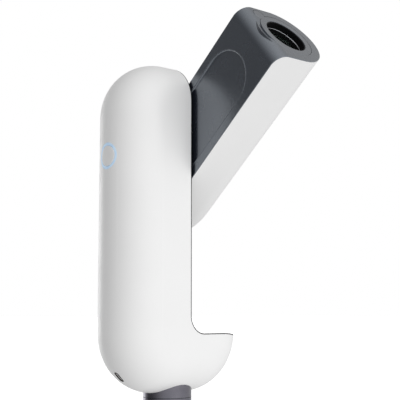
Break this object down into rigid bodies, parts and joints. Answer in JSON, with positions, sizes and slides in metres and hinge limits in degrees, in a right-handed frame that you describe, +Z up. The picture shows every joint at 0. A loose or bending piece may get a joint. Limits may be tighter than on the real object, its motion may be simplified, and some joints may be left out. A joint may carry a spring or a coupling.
{
  "type": "smart telescope",
  "caption": "Compact motorised smart telescope: pill-shaped case whose lens arm swings up from a J-shaped body on a round azimuth base with a tripod thread.",
  "frame": {"origin": "middle of the tripod thread's mouth, in the plane of the base's lower face", "axes": "+Z up along the azimuth axis, +X across the case from the body to the arm, -Y towards the side the raised lens looks to"},
  "size_m": [0.187, 0.2926, 0.4739],
  "materials": {
    "white_case": "satin",
    "dark_cover": "satin",
    "grey_base": "satin",
    "alloy": "machined",
    "black_alloy": "anodised",
    "steel": "turned",
    "brass": "turned",
    "rubber": "matt",
    "motor_can": "satin",
    "battery_wrap": "shrink wrap",
    "tray_plastic": "moulded",
    "board": "solder mask",
    "glass": "coated",
    "light_guide": "frosted",
    "heater_film": "film"
  },
  "bodies": {
    "base": {"base_plate": "grey_base", "base_pad": "rubber", "thread_insert": "steel", "azimuth_spindle": "steel", "base_screws": "steel", "spindle_nut": "steel", "azimuth_sun_gear": "brass"},
    "body": {"body_shell": "white_case", "bay_liner": "dark_cover", "base_collar": "grey_base", "azimuth_bearings": "steel", "bearing_spacer": "alloy", "chassis_frame": "alloy", "collar_screws": "steel", "liner_screws": "steel", "azimuth_bracket": "alloy", "azimuth_motor": "motor_can", "altitude_housing": "alloy", "altitude_bearings": "steel", "altitude_bracket": "alloy", "altitude_motor": "motor_can", "battery_cells": "battery_wrap", "battery_tray": "tray_plastic", "battery_cap": "tray_plastic", "board_rail": "alloy", "main_board": "board", "antenna_board": "board", "light_ring": "light_guide", "button_frame": "tray_plastic", "switch_board": "board", "charge_port": "tray_plastic", "charge_contacts": "brass"},
    "azimuth_pinion": {"azimuth_pinion": "steel"},
    "altitude_pinion": {"altitude_pinion": "steel"},
    "power_button": {"power_button": "white_case"},
    "arm": {"arm_shell": "white_case", "arm_cover": "dark_cover", "front_ring": "dark_cover", "ring_magnets": "steel", "altitude_shaft": "alloy", "altitude_gear": "brass", "arm_frame": "alloy", "arm_screws": "steel", "tube_clamps": "alloy", "lens_tube": "black_alloy", "lens_retainer": "black_alloy", "objective_cell": "black_alloy", "objective_crown": "glass", "objective_flint": "glass", "dew_heater": "heater_film", "rear_cell": "black_alloy", "rear_lens": "glass", "focus_housing": "alloy", "focus_guides": "steel", "focus_motor": "motor_can", "heat_sink": "alloy"},
    "focus_carriage": {"focus_carriage": "alloy", "image_sensor": "board"},
    "focus_screw": {"focus_screw": "steel"}
  },
  "joints": [
    {"name": "azimuth", "type": "hinge", "parent": "base", "child": "body", "pos_m": [0, 0, 0.0148], "axis": [0, 0, 1], "continuous": true},
    {"name": "azimuth_pinion_spin", "type": "hinge", "parent": "body", "child": "azimuth_pinion", "pos_m": [0.02612, 0, 0.054], "axis": [0, 0, 1], "continuous": true},
    {"name": "altitude", "type": "hinge", "parent": "body", "child": "arm", "pos_m": [0, 0, 0.3025], "axis": [1, 0, 0], "range_deg": [-50, 130]},
    {"name": "altitude_pinion_spin", "type": "hinge", "parent": "body", "child": "altitude_pinion", "pos_m": [-0.05, 0, 0.26738], "axis": [1, 0, 0], "range_deg": [-520, 200]},
    {"name": "power_press", "type": "slide", "parent": "body", "child": "power_button", "axis": [1, 0, 0], "range_m": [0, 0.0012], "stiffness_N_per_m": 900, "springref_m": -0.0006},
    {"name": "focus_slide", "type": "slide", "parent": "arm", "child": "focus_carriage", "axis": [0, -0.766, 0.6428], "range_m": [-0.004, 0.004]},
    {"name": "focus_screw_spin", "type": "hinge", "parent": "arm", "child": "focus_screw", "pos_m": [0.0459, 0.04137, 0.28802], "axis": [0, -0.766, 0.6428], "range_deg": [-730, 730]}
  ],
  "couplings": [
    {"joint": "azimuth_pinion_spin", "follows": "azimuth", "ratio": 3.3333},
    {"joint": "altitude_pinion_spin", "follows": "altitude", "ratio": -4},
    {"joint": "focus_screw_spin", "follows": "focus_slide", "rad_per_m": 3141.6}
  ]
}
